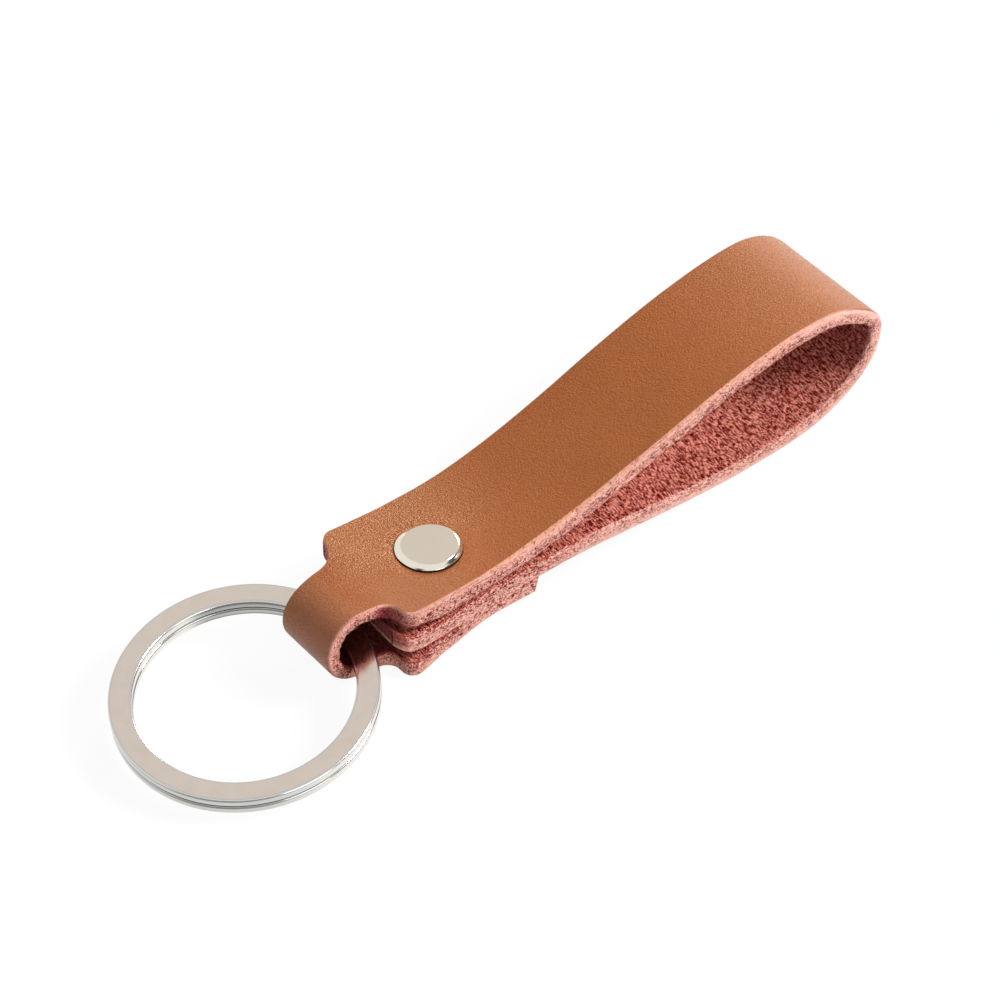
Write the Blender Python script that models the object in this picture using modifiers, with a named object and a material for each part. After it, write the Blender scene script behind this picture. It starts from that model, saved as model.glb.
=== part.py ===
"""Leather loop keychain: one folded strip of leather, a double cap rivet and a flat split ring.

The side view is drawn about the rivet: X runs along the strap towards the tip of the loop, Y runs
across it, and Z is the rivet's axis, with zero on the grain of the top layer. The whole keychain is
then leaned and lifted so that it lies on a table at Z = 0, with the middle of its box at X = Y = 0.
"""
import math

import bmesh
import bpy
import numpy as np

mm = 0.001

# Leather strip
STRAP_WIDTH = 16.0 * mm
LEATHER = 2.2 * mm
NECK_LEATHER = 1.7 * mm
LAYER_GAP = 0.1 * mm
NECK_WIDTH = 9.0 * mm
NECK_SHIFT = -0.5 * mm
SHOULDER_X = -8.0 * mm
SHOULDER_ROUND = 1.3 * mm
NECK_ROOT_ROUND = 1.5 * mm
MIDDLE_END_ROUND = 1.6 * mm
MIDDLE_END_DROOP = 0.6 * mm
FLAP_END_X = 10.0 * mm
FLAP_END_ROUND = 0.6 * mm

# Neck tunnel that the ring hangs in
TUNNEL_X = -12.35 * mm
TUNNEL_DEPTH = 4.15 * mm
TUNNEL_CLEARANCE = 0.1 * mm
MIDDLE_END_CLEARANCE = 0.15 * mm

# Finger loop, side view of the grain
LOOP_START_X = 10.0 * mm
BELLY_X = 40.2 * mm
BELLY_DEPTH = 5.9 * mm
BELLY_FLAT = 5.2 * mm
TIP_X = 59.7 * mm
TIP_HEIGHT = 5.2 * mm
CROWN_X = 51.2 * mm
CROWN_HEIGHT = 10.35 * mm
SEAT_MARGIN = 0.2 * mm
FLAP_LOW_X = -7.8 * mm
FLAP_LOW_FLAT = 0.6 * mm
TABLE_LEAN = math.radians(4.2)

# How far each bend of the side view holds its direction, as a share of the bend's own length
MIDDLE_DROOP_PULL = 0.35
BELLY_PULL = 0.3
ROUND_PULL = 0.6
TIP_PULL = 0.46
TOP_RUN_PULL = 0.32
NECK_PULL = 0.4
FLAP_PULL = 0.4
FOLD_STEPS = 24
ARC_STEPS = 5
CORNER_STEP = 0.02 * mm
LEAST_STEP = 0.03 * mm
SKIVE_LENGTH = 3.0 * mm

# Rivet
RIVET_SHIFT = -1.15 * mm
FRONT_CAP_RADIUS = 3.9 * mm
REAR_CAP_RADIUS = 3.0 * mm
CAP_HEIGHT = 0.95 * mm
CAP_WALL = 0.28 * mm
CAP_BEVEL = 0.75 * mm
CAP_LIP = 0.45 * mm
FLANGE_THICKNESS = 0.27 * mm
FLANGE_CLEARANCE = 0.06 * mm
TUBE_RADIUS = 1.6 * mm
TUBE_WALL = 0.35 * mm
TUBE_STOP_SHORT = 1.6 * mm
POST_CLEARANCE = 0.08 * mm
POST_STOP_SHORT = 1.2 * mm
HOLE_CLEARANCE = 0.12 * mm
STEM_TIP_CHAMFER = 0.2 * mm
CAP_FACETS = 60
STEM_FACETS = 40
CAP_SHOULDER_STEPS = 6

# Split ring
RING_DIAMETER = 30.0 * mm
WIRE_WIDTH = 2.66 * mm
WIRE_THICKNESS = 0.9 * mm
WIRE_ROUND = 0.28 * mm
TURN_GAP = 0.05 * mm
RING_LEAN = math.radians(7.5)
RING_ROLL = math.radians(4.2)
RING_SHIFT = -0.84 * mm
WIRE_AHEAD_OF_TUNNEL = 0.56 * mm
WIRE_BELOW_TUNNEL = 1.16 * mm
CROSSING_ANGLE = math.radians(10.0)
WIRE_END_GAP = math.radians(1.5)
COIL_STEPS = 84
WIRE_CORNER_STEPS = 3

# Levels of the stack at the rivet
TOP_FLESH = -LEATHER
MIDDLE_FLESH = TOP_FLESH - LAYER_GAP
MIDDLE_GRAIN = MIDDLE_FLESH - LEATHER
FLAP_FLESH = MIDDLE_GRAIN - LAYER_GAP
FLAP_GRAIN = FLAP_FLESH - LEATHER

RING_HEIGHT = 2.0 * WIRE_THICKNESS + TURN_GAP
RING_RADIUS = RING_DIAMETER / 2.0
COIL_RADIUS = RING_RADIUS - WIRE_WIDTH / 2.0
SHARP_ANGLE = math.radians(40.0)
WELD_DISTANCE = 0.001 * mm


def clear_scene():
    """Empty the file of objects."""
    for thing in list(bpy.data.objects):
        bpy.data.objects.remove(thing, do_unlink=True)


def new_collection(name):
    """A collection in the scene."""
    collection = bpy.data.collections.new(name)
    bpy.context.scene.collection.children.link(collection)
    return collection


def principled(name, colour, roughness, metallic):
    """A plain Principled material."""
    material = bpy.data.materials.new(name)
    material.use_nodes = True
    shader = material.node_tree.nodes["Principled BSDF"]
    shader.inputs["Base Color"].default_value = (*colour, 1.0)
    shader.inputs["Roughness"].default_value = roughness
    shader.inputs["Metallic"].default_value = metallic
    return material


def add_object(name, data, collection, material=None):
    """Put mesh or curve data into the scene as a named object."""
    thing = bpy.data.objects.new(name, data)
    collection.objects.link(thing)
    if material is not None:
        data.materials.append(material)
    return thing


def bend(start, start_way, start_pull, end, end_way, end_pull, steps):
    """Points of a smooth bend in the side view, without its last point.

    It is one cubic Bezier curve that leaves start along start_way and arrives at end along end_way.
    """
    t = np.linspace(0.0, 1.0, steps, endpoint=False)[:, None]
    leaving = start + start_way * start_pull
    arriving = end - end_way * end_pull
    return (1 - t) ** 3 * start + 3 * (1 - t) ** 2 * t * leaving + 3 * (1 - t) * t**2 * arriving + t**3 * end


def ring_turn():
    """The ring's own axes in the side frame, as columns: along, across and through."""
    lean = np.array([
        [math.cos(RING_LEAN), 0.0, -math.sin(RING_LEAN)],
        [0.0, 1.0, 0.0],
        [math.sin(RING_LEAN), 0.0, math.cos(RING_LEAN)],
    ])
    roll = np.array([
        [1.0, 0.0, 0.0],
        [0.0, math.cos(RING_ROLL), -math.sin(RING_ROLL)],
        [0.0, math.sin(RING_ROLL), math.cos(RING_ROLL)],
    ])
    return lean @ roll


def ring_centre():
    """Centre of the ring in the side frame, one coil radius from the wire in the tunnel."""
    wire = np.array([
        TUNNEL_X + WIRE_AHEAD_OF_TUNNEL,
        RING_SHIFT,
        -TUNNEL_DEPTH - WIRE_BELOW_TUNNEL,
    ])
    return wire - ring_turn()[:, 0] * COIL_RADIUS


def tunnel_radius():
    """Inner radius of the neck's fold: the furthest that the wire reaches from its axis, and clearance."""
    turn = ring_turn()
    centre = ring_centre()
    across = NECK_SHIFT + np.linspace(-0.5, 0.5, 25) * NECK_WIDTH
    reach = 0.0
    for radius in (RING_RADIUS - WIRE_ROUND, RING_RADIUS - WIRE_WIDTH + WIRE_ROUND):
        for height in (WIRE_ROUND - RING_HEIGHT / 2.0, RING_HEIGHT / 2.0 - WIRE_ROUND):
            base = centre + turn[:, 2] * height
            angle = np.arcsin((across - base[1]) / (radius * turn[1, 1]))
            x = base[0] + radius * (np.cos(angle) * turn[0, 0] + np.sin(angle) * turn[0, 1])
            z = base[2] + radius * (np.cos(angle) * turn[2, 0] + np.sin(angle) * turn[2, 1])
            reach = max(reach, float(np.hypot(x - TUNNEL_X, z + TUNNEL_DEPTH).max()))
    return reach + WIRE_ROUND + TUNNEL_CLEARANCE


def table_height(x):
    """Height of the table under the side view, worked out from the belly that lies on it."""
    return -BELLY_DEPTH + math.tan(TABLE_LEAN) * (x - BELLY_X)


def grain_path():
    """Side view of the grain from the middle layer's end, round the loop and the neck, to the flap's end."""
    inner = tunnel_radius()
    outer = inner + NECK_LEATHER
    ahead = np.array([1.0, 0.0])
    up = np.array([0.0, 1.0])
    table = np.array([math.cos(TABLE_LEAN), math.sin(TABLE_LEAN)])
    front_seat = FRONT_CAP_RADIUS + SEAT_MARGIN
    rear_seat = REAR_CAP_RADIUS + SEAT_MARGIN

    middle_end = np.array([TUNNEL_X + inner + MIDDLE_END_CLEARANCE, MIDDLE_GRAIN - MIDDLE_END_DROOP])
    middle_seat = np.array([-front_seat, MIDDLE_GRAIN])
    loop_start = np.array([LOOP_START_X, MIDDLE_GRAIN])
    belly = np.array([BELLY_X, -BELLY_DEPTH])
    belly_end = belly + table * BELLY_FLAT
    tip = np.array([TIP_X, TIP_HEIGHT])
    crown = np.array([CROWN_X, CROWN_HEIGHT])
    top_seat = np.array([front_seat, 0.0])
    top_seat_end = np.array([-front_seat, 0.0])
    fold_top = np.array([TUNNEL_X, outer - TUNNEL_DEPTH])
    fold_bottom = np.array([TUNNEL_X, -outer - TUNNEL_DEPTH])
    flap_low = np.array([FLAP_LOW_X, table_height(FLAP_LOW_X)])
    flap_low_end = flap_low + table * FLAP_LOW_FLAT
    flap_seat = np.array([-rear_seat, FLAP_GRAIN])
    flap_end = np.array([FLAP_END_X, FLAP_GRAIN])

    droop = MIDDLE_DROOP_PULL * (middle_seat[0] - middle_end[0])
    sink = BELLY_PULL * (BELLY_X - LOOP_START_X)
    round_below = ROUND_PULL * (TIP_X - belly_end[0])
    round_up = ROUND_PULL * (TIP_HEIGHT + BELLY_DEPTH)
    tip_rise = TIP_PULL * (CROWN_HEIGHT - TIP_HEIGHT)
    tip_back = TIP_PULL * (TIP_X - CROWN_X)
    fall = TOP_RUN_PULL * (CROWN_X - top_seat[0])
    neck = NECK_PULL * (top_seat_end[0] - fold_top[0])
    lift = FLAP_PULL * (flap_seat[0] - flap_low_end[0])
    under = FLAP_PULL * (flap_low[0] - fold_bottom[0])

    angles = np.linspace(0.5 * math.pi, 1.5 * math.pi, FOLD_STEPS + 1)[1:-1]
    fold = np.column_stack([
        TUNNEL_X + outer * np.cos(angles),
        -TUNNEL_DEPTH + outer * np.sin(angles),
    ])
    return np.vstack([
        bend(middle_end, ahead, droop, middle_seat, ahead, droop, 8),
        middle_seat,
        bend(loop_start, ahead, sink, belly, table, sink, 16),
        belly,
        bend(belly_end, table, round_below, tip, up, round_up, 26),
        bend(tip, up, tip_rise, crown, -ahead, tip_back, 16),
        bend(crown, -ahead, fall, top_seat, -ahead, fall, 34),
        top_seat,
        bend(top_seat_end, -ahead, neck, fold_top, -ahead, neck, 12),
        fold_top,
        fold,
        bend(fold_bottom, ahead, under, flap_low, table, under, 6),
        flap_low,
        bend(flap_low_end, table, lift, flap_seat, ahead, lift, 12),
        flap_seat,
        flap_end,
    ])


def path_lengths(path):
    """Length along a side view path at each of its points."""
    steps = np.hypot(np.diff(path[:, 0]), np.diff(path[:, 1]))
    return np.concatenate([[0.0], np.cumsum(steps)])


def rounded_step(along, wide, narrow, outer_round, inner_round):
    """Half width of a shoulder: a round corner before zero and a round root after it."""
    before = np.clip(along + outer_round, 0.0, outer_round)
    after = np.clip(inner_round - along, 0.0, inner_round)
    corner = wide - outer_round + np.sqrt(outer_round**2 - before**2)
    root = narrow + inner_round - np.sqrt(inner_round**2 - after**2)
    return np.where(along < 0.0, corner, root)


def rounded_end(along, wide, radius):
    """Half width of a square cut end with round corners."""
    short = np.clip(radius - along, 0.0, radius)
    return wide - radius + np.sqrt(radius**2 - short**2)


def edge_places(path, lengths):
    """Lengths at which the two shoulders stand, on the top layer and on the flap."""
    crown = int(np.argmax(path[:, 1]))
    fold = int(np.argmin(path[:, 0]))
    top = np.interp(-SHOULDER_X, -path[crown:fold, 0], lengths[crown:fold])
    flap = np.interp(SHOULDER_X, path[fold:, 0], lengths[fold:])
    return float(top), float(flap)


def strap_stations(lengths, shoulders):
    """Lengths at which the strip gets a cross row, close together only where its outline turns."""
    total = lengths[-1]
    sweep = 1.0 - np.cos(np.linspace(0.0, 0.5 * math.pi, ARC_STEPS + 1))
    marks = [lengths, MIDDLE_END_ROUND * sweep, total - FLAP_END_ROUND * sweep]
    for place, inwards in zip(shoulders, (1.0, -1.0)):
        marks.append(place - inwards * (CORNER_STEP + SHOULDER_ROUND * sweep))
        marks.append(place + inwards * (CORNER_STEP + NECK_ROOT_ROUND * sweep))
    stations = [0.0]
    for station in np.unique(np.concatenate(marks)):
        if station - stations[-1] > LEAST_STEP:
            stations.append(station)
    stations[-1] = total
    return np.array(stations)


def strap_edges(stations, total, shoulders):
    """The strip's two edges in Y at each station."""
    edges = []
    for side in (-1.0, 1.0):
        wide = STRAP_WIDTH / 2.0
        narrow = NECK_WIDTH / 2.0 + side * NECK_SHIFT
        start = rounded_step(stations - shoulders[0], wide, narrow, SHOULDER_ROUND, NECK_ROOT_ROUND)
        finish = rounded_step(shoulders[1] - stations, wide, narrow, SHOULDER_ROUND, NECK_ROOT_ROUND)
        ends = np.minimum(
            rounded_end(stations, wide, MIDDLE_END_ROUND),
            rounded_end(total - stations, wide, FLAP_END_ROUND),
        )
        waist = np.where(stations < 0.5 * (shoulders[0] + shoulders[1]), start, finish)
        edges.append(side * np.minimum(waist, ends))
    return edges


def make_strap(collection, cutters, material):
    """The strip: one open surface along its grain, thickened inwards and punched for the rivet."""
    path = grain_path()
    lengths = path_lengths(path)
    shoulders = edge_places(path, lengths)
    stations = strap_stations(lengths, shoulders)
    x = np.interp(stations, lengths, path[:, 0])
    z = np.interp(stations, lengths, path[:, 1])
    left, right = strap_edges(stations, lengths[-1], shoulders)
    rows = np.stack([np.column_stack([x, left, z]), np.column_stack([x, right, z])], axis=1)
    faces = [(2 * i, 2 * i + 1, 2 * i + 3, 2 * i + 2) for i in range(len(stations) - 1)]
    mesh = bpy.data.meshes.new("leather_strap")
    mesh.from_pydata(rows.reshape(-1, 3).tolist(), [], faces)
    strap = add_object("leather_strap", mesh, collection, material)
    skive(strap, stations, shoulders)
    thick = strap.modifiers.new("leather", "SOLIDIFY")
    thick.thickness = LEATHER
    thick.offset = -1.0
    thick.use_even_offset = True
    thick.vertex_group = "leather"
    punch = round_cutter(
        "rivet_hole",
        TUBE_RADIUS + HOLE_CLEARANCE,
        FLAP_GRAIN - LEATHER,
        LEATHER,
        cutters,
    )
    hole = strap.modifiers.new("rivet_hole", "BOOLEAN")
    hole.operation = "DIFFERENCE"
    hole.solver = "EXACT"
    hole.object = punch
    return strap, punch


def skive(strap, stations, shoulders):
    """Thin the neck between its shoulders, as weights that the thickness follows."""
    inside = np.minimum(stations - shoulders[0], shoulders[1] - stations)
    share = np.clip(inside / SKIVE_LENGTH, 0.0, 1.0)
    ease = share * share * (3.0 - 2.0 * share)
    weight = 1.0 + (NECK_LEATHER / LEATHER - 1.0) * ease
    group = strap.vertex_groups.new(name="leather")
    for row, value in enumerate(weight):
        group.add([2 * row, 2 * row + 1], float(value), "REPLACE")


def round_cutter(name, radius, low, high, cutters):
    """A cylinder along the rivet's axis, kept out of the render."""
    bpy.ops.mesh.primitive_cylinder_add(
        vertices=STEM_FACETS,
        radius=radius,
        depth=high - low,
        location=(0.0, RIVET_SHIFT, 0.5 * (low + high)),
    )
    cutter = bpy.context.object
    cutter.name = name
    for owner in list(cutter.users_collection):
        owner.objects.unlink(cutter)
    cutters.objects.link(cutter)
    cutter.hide_render = True
    cutter.display_type = "WIRE"
    return cutter


def turned(name, profile, steps, collection, material):
    """A turned piece on the rivet's axis, from a profile of radius and height."""
    mesh = bpy.data.meshes.new(name)
    points = [(radius, 0.0, height) for radius, height in profile]
    edges = [(i, i + 1) for i in range(len(points) - 1)]
    mesh.from_pydata(points, edges, [])
    piece = add_object(name, mesh, collection, material)
    screw = piece.modifiers.new("turn", "SCREW")
    screw.steps = steps
    screw.render_steps = steps
    screw.use_merge_vertices = True
    screw.merge_threshold = WELD_DISTANCE
    screw.use_smooth_shade = True
    return piece


def cap_profile(radius):
    """A pressed cap on its seat: flat crown, round shoulder, upright rim and a lip turned in below."""
    crown = radius - CAP_BEVEL
    fall = CAP_HEIGHT - CAP_WALL
    outside = [(0.0, CAP_HEIGHT)]
    for step in range(CAP_SHOULDER_STEPS + 1):
        angle = 0.5 * math.pi * step / CAP_SHOULDER_STEPS
        outside.append((
            crown + CAP_BEVEL * math.sin(angle),
            CAP_HEIGHT - fall * (1.0 - math.cos(angle)),
        ))
    outside.append((radius, 0.0))
    mouth = radius - CAP_WALL - CAP_LIP
    wall = radius - CAP_WALL
    inside = [
        (mouth, 0.0),
        (mouth, CAP_WALL),
        (wall, CAP_WALL),
        (wall, CAP_WALL + 0.25 * fall),
        (crown, CAP_HEIGHT - CAP_WALL),
        (0.0, CAP_HEIGHT - CAP_WALL),
    ]
    return outside + inside


def flange_levels():
    """Low and high face of a flange held inside its cap."""
    low = CAP_WALL + FLANGE_CLEARANCE
    return low, low + FLANGE_THICKNESS


def flange_radius(cap_radius):
    """Radius of a flange that the cap's lip holds in."""
    return cap_radius - CAP_BEVEL


def make_rivet(collection, steel):
    """Front cap, flanged socket, flanged post and rear cap, set through the three layers."""
    low, high = flange_levels()
    bore = TUBE_RADIUS - TUBE_WALL
    front_cap = turned("rivet_front_cap", cap_profile(FRONT_CAP_RADIUS), CAP_FACETS, collection, steel)
    socket_end = FLAP_GRAIN + TUBE_STOP_SHORT
    front_flange = flange_radius(FRONT_CAP_RADIUS)
    socket = turned(
        "rivet_socket",
        [
            (bore, high),
            (front_flange, high),
            (front_flange, low),
            (TUBE_RADIUS, low),
            (TUBE_RADIUS, socket_end),
            (bore, socket_end),
            (bore, high),
        ],
        STEM_FACETS,
        collection,
        steel,
    )
    rear_cap = turned("rivet_rear_cap", cap_profile(REAR_CAP_RADIUS), CAP_FACETS, collection, steel)
    rear_cap.rotation_euler = (math.pi, 0.0, 0.0)
    stem = bore - POST_CLEARANCE
    stem_tip = FLAP_GRAIN + POST_STOP_SHORT
    rear_flange = flange_radius(REAR_CAP_RADIUS)
    post = turned(
        "rivet_post",
        [
            (0.0, high),
            (rear_flange, high),
            (rear_flange, low),
            (stem, low),
            (stem, stem_tip + STEM_TIP_CHAMFER),
            (stem - STEM_TIP_CHAMFER, stem_tip),
            (0.0, stem_tip),
        ],
        STEM_FACETS,
        collection,
        steel,
    )
    post.rotation_euler = (math.pi, 0.0, 0.0)
    for piece in (front_cap, socket):
        piece.location = (0.0, RIVET_SHIFT, 0.0)
    for piece in (rear_cap, post):
        piece.location = (0.0, RIVET_SHIFT, FLAP_GRAIN)
    return [front_cap, socket, rear_cap, post]


def wire_section(collection):
    """Outline of the flat wire, a rectangle with round corners, as a guide curve."""
    curve = bpy.data.curves.new("wire_section", "CURVE")
    curve.dimensions = "2D"
    points = []
    half_width = WIRE_WIDTH / 2.0 - WIRE_ROUND
    half_height = WIRE_THICKNESS / 2.0 - WIRE_ROUND
    for corner, (sx, sy) in enumerate(((1, -1), (-1, -1), (-1, 1), (1, 1))):
        for step in range(WIRE_CORNER_STEPS + 1):
            angle = -0.5 * math.pi * (corner + step / WIRE_CORNER_STEPS)
            points.append((
                sx * half_width + WIRE_ROUND * math.cos(angle),
                sy * half_height + WIRE_ROUND * math.sin(angle),
            ))
    spline = curve.splines.new("POLY")
    spline.points.add(len(points) - 1)
    for place, (px, py) in zip(spline.points, points):
        place.co = (px, py, 0.0, 1.0)
    spline.use_cyclic_u = True
    section = bpy.data.objects.new("wire_section", curve)
    collection.objects.link(section)
    section.hide_render = True
    section.display_type = "WIRE"
    return section


def coil_points():
    """Centre line of the wire: two flat turns, with a short crossing from the lower to the upper one."""
    begin = CROSSING_ANGLE + WIRE_END_GAP
    finish = 4.0 * math.pi - begin
    angles = np.linspace(begin, finish, 2 * COIL_STEPS)
    pitch = WIRE_THICKNESS + TURN_GAP
    share = np.clip((angles - 2.0 * math.pi + CROSSING_ANGLE) / (2.0 * CROSSING_ANGLE), 0.0, 1.0)
    rise = share * share * (3.0 - 2.0 * share)
    z = pitch * (rise - 0.5)
    return np.column_stack([COIL_RADIUS * np.cos(angles), COIL_RADIUS * np.sin(angles), z])


def make_ring(collection, guides, material):
    """The split ring: a flat wire carried along its coil."""
    points = coil_points()
    curve = bpy.data.curves.new("split_ring", "CURVE")
    curve.dimensions = "3D"
    curve.twist_mode = "Z_UP"
    spline = curve.splines.new("POLY")
    spline.points.add(len(points) - 1)
    for place, point in zip(spline.points, points):
        place.co = (*point, 1.0)
    curve.bevel_mode = "OBJECT"
    curve.bevel_object = wire_section(guides)
    curve.use_fill_caps = True
    return add_object("split_ring", curve, collection, material)


def finish_surface(piece):
    """Keep the worked shape as the piece's own mesh, smooth except at its corners."""
    bpy.context.view_layer.update()
    depsgraph = bpy.context.evaluated_depsgraph_get()
    worked = piece.evaluated_get(depsgraph)
    mesh = bpy.data.meshes.new_from_object(worked, preserve_all_data_layers=True, depsgraph=depsgraph)
    mesh.name = piece.name
    weld = bmesh.new()
    weld.from_mesh(mesh)
    bmesh.ops.remove_doubles(weld, verts=weld.verts, dist=WELD_DISTANCE)
    bmesh.ops.recalc_face_normals(weld, faces=weld.faces)
    weld.to_mesh(mesh)
    weld.free()
    mesh.shade_smooth()
    mesh.set_sharp_from_angle(angle=SHARP_ANGLE)
    if piece.type == "MESH":
        piece.modifiers.clear()
        piece.data = mesh
        return piece
    collection = piece.users_collection[0]
    name = piece.name
    bpy.data.objects.remove(piece, do_unlink=True)
    return add_object(name, mesh, collection)


def lay_on_table(root, pieces):
    """Move the root so that the keychain stands on Z = 0 with its box centred on X = Y = 0."""
    bpy.context.view_layer.update()
    depsgraph = bpy.context.evaluated_depsgraph_get()
    low = np.full(3, np.inf)
    high = np.full(3, -np.inf)
    for piece in pieces:
        shape = piece.evaluated_get(depsgraph)
        mesh = shape.to_mesh()
        flat = np.empty(3 * len(mesh.vertices))
        mesh.vertices.foreach_get("co", flat)
        turn = np.array(shape.matrix_world)
        points = flat.reshape(-1, 3) @ turn[:3, :3].T + turn[:3, 3]
        low = np.minimum(low, points.min(axis=0))
        high = np.maximum(high, points.max(axis=0))
        shape.to_mesh_clear()
    root.location.x -= 0.5 * (low[0] + high[0])
    root.location.y -= 0.5 * (low[1] + high[1])
    root.location.z -= low[2]


def build():
    """Make every piece and lay the keychain down."""
    clear_scene()
    collection = new_collection("leather_keychain")
    guides = new_collection("cutters_and_guides")
    leather = principled("tan_leather", (0.46, 0.17, 0.06), 0.55, 0.0)
    nickel = principled("nickel_plate", (0.62, 0.57, 0.50), 0.18, 1.0)
    steel = principled("rivet_nickel", (0.64, 0.59, 0.51), 0.15, 1.0)

    root = add_object("table_pose", None, collection)
    swing = add_object("ring_swing", None, collection)
    swing.parent = root
    swing.location = (TUNNEL_X, NECK_SHIFT, -TUNNEL_DEPTH)

    strap, punch = make_strap(collection, guides, leather)
    strap = finish_surface(strap)
    rivet = [finish_surface(piece) for piece in make_rivet(collection, steel)]
    ring = finish_surface(make_ring(collection, guides, nickel))
    for piece in [strap, punch] + rivet:
        piece.parent = root
    ring.parent = swing
    centre = ring_centre()
    ring.location = (
        centre[0] - swing.location.x,
        centre[1] - swing.location.y,
        centre[2] - swing.location.z,
    )
    ring.rotation_euler = (RING_ROLL, -RING_LEAN, 0.0)
    root.rotation_euler = (0.0, TABLE_LEAN, 0.0)
    lay_on_table(root, [strap, ring] + rivet)


build()
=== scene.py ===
"""Looks of the leather loop keychain: its folded strap, its flat split ring and its cap rivet.

Shapes are first worked out in millimetres in the side frame of the strap: X runs from the rivet
towards the tip of the loop, Y across the strap, and Z along the rivet, with zero on the top grain.
lay_down() then turns them to the table's frame, in metres.
"""
import math

import bpy
import numpy as np
from mathutils import Matrix


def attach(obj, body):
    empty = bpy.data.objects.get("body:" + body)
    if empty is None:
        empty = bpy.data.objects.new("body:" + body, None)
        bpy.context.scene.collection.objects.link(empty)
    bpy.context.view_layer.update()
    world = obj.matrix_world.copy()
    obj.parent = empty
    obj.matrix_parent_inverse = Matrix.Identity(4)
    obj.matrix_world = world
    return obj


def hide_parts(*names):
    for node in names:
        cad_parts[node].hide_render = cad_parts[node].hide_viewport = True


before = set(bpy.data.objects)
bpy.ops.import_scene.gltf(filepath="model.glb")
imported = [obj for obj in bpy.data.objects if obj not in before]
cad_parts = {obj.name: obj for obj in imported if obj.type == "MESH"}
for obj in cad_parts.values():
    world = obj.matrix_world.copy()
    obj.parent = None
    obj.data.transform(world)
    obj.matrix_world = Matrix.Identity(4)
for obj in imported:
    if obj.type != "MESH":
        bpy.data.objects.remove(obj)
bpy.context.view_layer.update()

# How the strap's side frame lies on the table, in millimetres and radians
TABLE_LEAN = math.radians(4.2)
RIVET_ON_TABLE = np.array([-9.561, 0.840, 8.828])

# Camera, in the side frame: where it stands, its right and up directions, and its lens and sensor in millimetres
CAMERA_PLACE = np.array([-309.72, -424.49, 488.88])
CAMERA_RIGHT = np.array([0.7881, -0.6153, -0.0173])
CAMERA_UP = np.array([0.4264, 0.5253, 0.7364])
CAMERA_LENS = 234.0
SENSOR = 36.0

# Leather strap and rivet, in millimetres and radians
STRAP_HALF = 8.0
NECK_NEAR = -5.03
NECK_FAR = 3.80
SHOULDER_X = -8.05
SHOULDER_FAR_BACK = 0.38
FLAP_NEAR_BACK = 0.10
# Radii of a shoulder: of its corner, and of its root at the neck
SHOULDER_NEAR = (1.5, 1.47)
SHOULDER_FAR = (1.70, 2.80)
FLAP_SLANT = 0.70
FLESH_ROUND = 0.3
# The fold's centre, the radius of its tunnel and the leather round it
TUNNEL_X = -12.35
TUNNEL_DEPTH = 4.15
TUNNEL_RADIUS = 2.952
NECK_LEATHER = 1.7
# Corners of the middle layer's end and of the flap's end, and where the flap's grain lies under the rivet
MIDDLE_ROUND = 1.35
FLAP_ROUND = 0.7
FLAP_SEAT = -6.8
RIVET_Y = -1.15
RIVET_RADIUS = 3.9
CAP_RADIUS = 3.80
CAP_HEIGHT = 0.62
CAP_SHOULDER = 0.66
# The front cap's centre, how far its crown is off it, where its bevel is narrower and by how much, and its nick
CAP_AT = np.array([0.28, -0.86])
CROWN_SHIFT = np.array([0.12, -0.10])
NARROW_AT = math.radians(-36.0)
NARROW = 0.20
NICK_AT = math.radians(-143.0)
# Dents in its rim: direction and depth, as a share of the radius
CAP_DENTS = ((math.radians(-40), 0.009), (math.radians(-80), 0.018), (math.radians(-172), 0.014))
REAR_RADIUS = 3.0
REAR_HEIGHT = 0.95
HOLE_RADIUS = 1.72

# Split ring, in millimetres and radians
RING_CENTRE = np.array([-25.313, -0.940, -7.160])
RING_LEAN = math.radians(8.0)
RING_ROLL = math.radians(4.2)
RING_RADIUS = 15.0
WIRE_WIDTH = 2.66
WIRE_THICKNESS = 1.10
# How far the wire's rounded corners reach in from its side, and down from its flat
WIRE_IN = 0.32
WIRE_DOWN = 0.24
TURN_GAP = 0.10
CROSSING = math.radians(9.0)
WIRE_END = math.radians(10.5)
CROSSING_AT = math.radians(5.0)


def lay_down(points):
    """Side frame in millimetres to the table's frame in metres: a turn about Y, then a shift."""
    c, s = math.cos(TABLE_LEAN), math.sin(TABLE_LEAN)
    x, y, z = points[..., 0], points[..., 1], points[..., 2]
    turned = np.stack([c * x + s * z, y, c * z - s * x], axis=-1)
    return (turned + RIVET_ON_TABLE) * 0.001


def eased(x, xs, ys, soft):
    """A table of values read at x, with its corners rounded over a length of about soft."""
    offsets = np.linspace(-1.0, 1.0, 9)
    weights = 1.0 - 0.8 * offsets**2
    total = sum(w * np.interp(x + soft * o, xs, ys) for w, o in zip(weights, offsets))
    return total / weights.sum()


def ramp(x, low, high):
    """Smooth step from 0 at low to 1 at high."""
    t = np.clip((x - low) / (high - low), 0.0, 1.0)
    return t * t * (3.0 - 2.0 * t)


def band(x, rise, full, fall, gone):
    """1 from full to fall, 0 before rise and after gone, and smooth steps between."""
    return ramp(x, rise, full) * (1.0 - ramp(x, fall, gone))


def bell(x, middle, width):
    """Smooth bump: 1 in the middle, and about a third at a width from it."""
    return np.exp(-((x - middle) / width) ** 2)


def wrapped(angle):
    """The same direction, within half a turn either way."""
    return np.angle(np.exp(1j * angle))


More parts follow.
